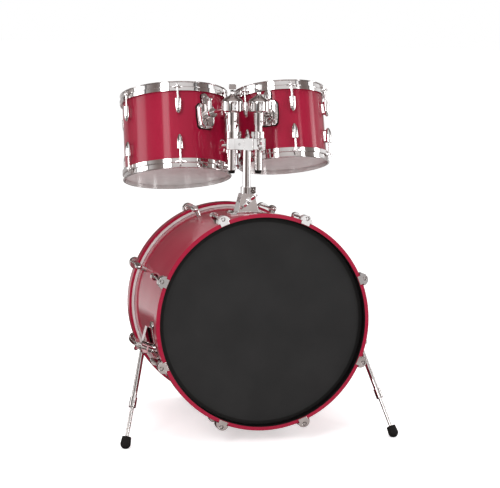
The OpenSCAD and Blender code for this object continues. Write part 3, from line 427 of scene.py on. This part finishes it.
# Height of the bevel at their ends, and its scale
FRONT_EDGE = 0.0012
FRONT_DRAUGHT = 0.93
# Set screw in the left one's slope: height above the slope, and radius
SCREW_OUTLINE = ((-0.002, 0.0002), (-0.002, 0.003), (0.0001, 0.003), (0.0001, 0.0022), (-0.0012, 0.0018),
                 (-0.0012, 0.0002))


def prism(name, outlines, levels, place, finish):
    """Closed forms between levels, which are pairs of a height and a scale of the outlines."""
    build = bmesh.new()
    for outline in outlines:
        rows = [[build.verts.new((scale * x, scale * y, height)) for x, y in outline]
                for height, scale in levels]
        for row, after in zip(rows, rows[1:]):
            for i in range(len(outline)):
                build.faces.new((row[i - 1], row[i], after[i], after[i - 1]))
        build.faces.new(rows[0])
        build.faces.new(rows[-1])
    return new_piece(name, build, place, finish)


for side in SIDES:
    swivel = joints[f"{side}_swivel_turn"]
    centre, up = Vector(swivel["pos_m"]), Vector(swivel["axis"])
    heights = []
    for vertex in frame["nodes"]["bridge"].data.vertices:
        off = vertex.co - centre
        height = off.dot(up)
        if abs((off - height * up).length - SLEEVE_R) < SLEEVE_NEAR:
            heights.append(height)
    low, high = min(heights), max(heights)
    hand = 1 if side == "left" else -1
    levels = ((low, FRONT_DRAUGHT), (low + FRONT_EDGE, 1), (high - FRONT_EDGE, 1), (high, FRONT_DRAUGHT))
    across = Vector((1, 0, 0))
    place = Matrix.Translation(centre) @ Matrix((across, up.cross(across), up)).transposed().to_4x4()
    outlines = [[(hand * x, y) for x, y in outline] for outline in FRONT_OUTLINES[side]]
    front = prism(f"{side}_bridge_front", outlines, levels, place, "chrome_plate")
    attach(front, swivel["parent"])
    if side == "left":
        (x0, y0), (x1, y1) = SLOPE_START, SLOPE_END
        middle = place @ Vector(((x0 + x1) / 2, (y0 + y1) / 2, (low + high) / 2))
        slope = place.to_3x3() @ Vector((y1 - y0, x0 - x1, 0)).normalized()
        screw = turned("bridge_set_screw", [SCREW_OUTLINE], middle, slope, "black_rubber")
        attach(screw, swivel["parent"])


# Stage, light and camera

# Plain light of the world, and how much the floor shines for the camera
WORLD_LIGHT = 0.55
FLOOR_GLOW = 0.52
# Degrees round from the front towards the right, and the light that gloss sees there
BANDS = (
    (-180, 0.16), (-158, 0.06), (-140, 0.12), (-118, 0.5), (-98, 1), (-72, 1), (-56, 0.5), (-38, 0.2),
    (-22, 0.06), (-8, 0.3), (6, 0.34), (10, 1), (17, 1), (21, 0.3), (40, 0.1), (56, 0.22), (76, 0.6), (94, 1),
    (116, 1), (136, 0.3), (156, 0.06), (180, 0.16))
# How high a direction points, from level to straight up, and the light that gloss sees there
UPPER_FRONT = ((0, 0.45), (0.42, 0.45), (0.58, 1), (0.82, 1), (0.92, 0.5), (1, 0.42))
UPPER_BACK = ((0, 0.2), (0.42, 0.2), (0.56, 0.08), (0.75, 0.14), (0.92, 0.42), (1, 0.42))
# Heights between which the bands give way to these, and degrees between which the front gives way to the back
UPPER_FROM = (0.08, 0.5)
UPPER_TURN = (58, 30)
# How much green and blue the darkest tones lack
WARM = (0.25, 0.32)
# Distance from a place in front of the object, and how light gloss sees the floor there
FLOOR_POOL = (0, -1.8, 0)
FLOOR_TONES = ((0, 0.6), (1.0, 0.6), (1.5, 0.12), (2.9, 0.12), (3.2, 0.85))
FLOOR_SIZE = 60
# Size of a lamp's face against the lamp, and parts of a card's width where its light starts and is full
FACE_SPREAD = 1.3
CARD_FADE = (0.5, 0.2)
LIGHT_TARGET = (0, -0.2, 0.55)


def tones(tree, value, stops):
    """Greys along a value, from pairs of where and how light; the darker, the warmer."""
    low, high = stops[0][0], stops[-1][0]
    made = node(tree, "ShaderNodeValToRGB")
    elements = made.color_ramp.elements
    for _ in stops[2:]:
        elements.new(0.5)
    for element, (at, level) in zip(elements, stops):
        element.position = (at - low) / (high - low)
        shade = max(0, 1 - level)
        element.color = (level, level * (1 - WARM[0] * shade), level * (1 - WARM[1] * shade), 1)
    part = math_node(tree, "DIVIDE", math_node(tree, "SUBTRACT", value, low), high - low)
    tree.links.new(part, made.inputs["Fac"])
    return made.outputs["Color"]


def studio_gloss(tree):
    """What gloss sees of the studio: bands of light and shade round the object, and others overhead."""
    way = node(tree, "ShaderNodeSeparateXYZ")
    tree.links.new(node(tree, "ShaderNodeTexCoord").outputs["Generated"], way.inputs[0])
    front = math_node(tree, "MULTIPLY", way.outputs["Y"], -1)
    turn = math_node(tree, "MULTIPLY", math_node(tree, "ARCTAN2", way.outputs["X"], front), 180 / math.pi)
    height = way.outputs["Z"]
    ahead = smooth(tree, math_node(tree, "ABSOLUTE", turn, 0), *UPPER_TURN)
    upper = mix(tree, ahead, tones(tree, height, UPPER_BACK), tones(tree, height, UPPER_FRONT))
    return mix(tree, smooth(tree, height, *UPPER_FROM), tones(tree, turn, BANDS), upper)


def plain_world():
    """White for the camera, a plain level of light for the rest, and a banded studio for the gloss."""
    world = bpy.data.worlds.new("studio")
    world.use_nodes = True
    tree = world.node_tree
    back = tree.nodes["Background"]
    path = node(tree, "ShaderNodeLightPath")
    colour = node(tree, "ShaderNodeMixRGB", Color1=(1, 1, 1, 1))
    tree.links.new(path.outputs["Is Glossy Ray"], colour.inputs["Fac"])
    tree.links.new(studio_gloss(tree), colour.inputs["Color2"])
    tree.links.new(colour.outputs["Color"], back.inputs["Color"])
    plain = math_node(tree, "MULTIPLY", path.outputs["Is Diffuse Ray"], 1 - WORLD_LIGHT)
    tree.links.new(math_node(tree, "SUBTRACT", 1, plain), back.inputs["Strength"])
    bpy.context.scene.world = world


def floor_material():
    """Pale floor that keeps the shadow, white as the background, with light and dark pools for gloss."""
    made, tree, shader = material("floor")
    path = node(tree, "ShaderNodeLightPath")
    away = node(tree, "ShaderNodeVectorMath", operation="DISTANCE")
    tree.links.new(object_place(tree), away.inputs[0])
    away.inputs[1].default_value = FLOOR_POOL
    pale = ramp(tree, noise(tree, 3), FLOOR, FLOOR_PALE)
    seen = mix(tree, path.outputs["Is Glossy Ray"], pale, tones(tree, away.outputs["Value"], FLOOR_TONES))
    tree.links.new(seen, shader.inputs["Base Color"])
    shader.inputs["Roughness"].default_value = 0.9
    shader.inputs["Specular IOR Level"].default_value = 0
    shader.inputs["Emission Color"].default_value = (1, 1, 1, 1)
    glow = math_node(tree, "MULTIPLY", path.outputs["Is Camera Ray"], FLOOR_GLOW)
    tree.links.new(glow, shader.inputs["Emission Strength"])
    return made


def plane(name, size_x, size_y, finish):
    """A flat rectangle that isn't part of the object."""
    mesh = bpy.data.meshes.new(name)
    x, y = size_x / 2, size_y / 2
    mesh.from_pydata([(-x, -y, 0), (x, -y, 0), (x, y, 0), (-x, y, 0)], [], [(0, 1, 2, 3)])
    made = bpy.data.objects.new(name, mesh)
    mesh.materials.append(finish)
    bpy.context.scene.collection.objects.link(made)
    made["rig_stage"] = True
    return made


def aim(thing, place, target):
    """Put a lamp or a card at a place and turn it to a target."""
    thing.location = place
    thing.rotation_euler = (Vector(target) - Vector(place)).to_track_quat("-Z", "Y").to_euler()


def card(name, place, width, height, finish):
    """A card that only reflections see, as photographers use to draw lines in chrome and gloss."""
    made = plane(name, width, height, finish)
    aim(made, place, LIGHT_TARGET)
    made.visible_camera = False
    made.visible_diffuse = False
    made.visible_shadow = False
    made.visible_transmission = False


def light_card(name, strength):
    """A card that shines, brightest along its middle."""
    made, tree, shader = material(name)
    across = node(tree, "ShaderNodeSeparateXYZ")
    tree.links.new(node(tree, "ShaderNodeTexCoord").outputs["Generated"], across.inputs[0])
    level = strength
    for way in ("X", "Y"):
        off = math_node(tree, "ABSOLUTE", math_node(tree, "SUBTRACT", across.outputs[way], 0.5), 0)
        level = math_node(tree, "MULTIPLY", smooth(tree, off, *CARD_FADE), level)
    shader.inputs["Base Color"].default_value = (0, 0, 0, 1)
    shader.inputs["Emission Color"].default_value = (1, 1, 1, 1)
    tree.links.new(level, shader.inputs["Emission Strength"])
    return made


def softbox(name, place, width, height, power, face=True):
    """A lamp, and the soft-edged face that gloss sees of it."""
    lamp = bpy.data.lights.new(name, "AREA")
    lamp.shape = "RECTANGLE"
    lamp.size = width
    lamp.size_y = height
    lamp.energy = power
    made = bpy.data.objects.new(name, lamp)
    bpy.context.scene.collection.objects.link(made)
    aim(made, place, LIGHT_TARGET)
    made.visible_glossy = False
    if not face:
        return
    name += "_face"
    radiance = power / (math.pi * width * height)
    card(name, place, FACE_SPREAD * width, FACE_SPREAD * height, light_card(name, radiance))


plain_world()
plane("floor", FLOOR_SIZE, FLOOR_SIZE, floor_material())
# Place, width, height, and power in watts or strength
softbox("key", (-2.3, -3.2, 2.4), 1.1, 2.4, 70)
softbox("fill", (2.5, -2.9, 1.7), 0.5, 2.0, 26)
softbox("top", (0, 0.3, 3.4), 2.2, 2.2, 40, face=False)
card("side_left", (-3.5, 0.2, 0.9), 2.0, 3.0, light_card("side_left", 5))
card("side_right", (3.5, -0.5, 0.9), 1.2, 3.0, light_card("side_right", 8))

camera = bpy.data.cameras.new("camera")
camera.sensor_width = SENSOR_MM
camera.lens = FOCAL_PX / FRAME_PX * SENSOR_MM
camera.clip_end = CAMERA_FAR
eye = bpy.data.objects.new("camera", camera)
bpy.context.scene.collection.objects.link(eye)
eye.matrix_world = (
    Matrix.Translation(CAMERA_PLACE)
    @ Matrix.Rotation(math.radians(-CAMERA_YAW), 4, "Z")
    @ Matrix.Rotation(math.radians(90 + CAMERA_PITCH), 4, "X")
    @ Matrix.Rotation(math.radians(CAMERA_ROLL), 4, "Z"))
bpy.context.scene.camera = eye
bpy.context.scene.view_settings.view_transform = "Standard"
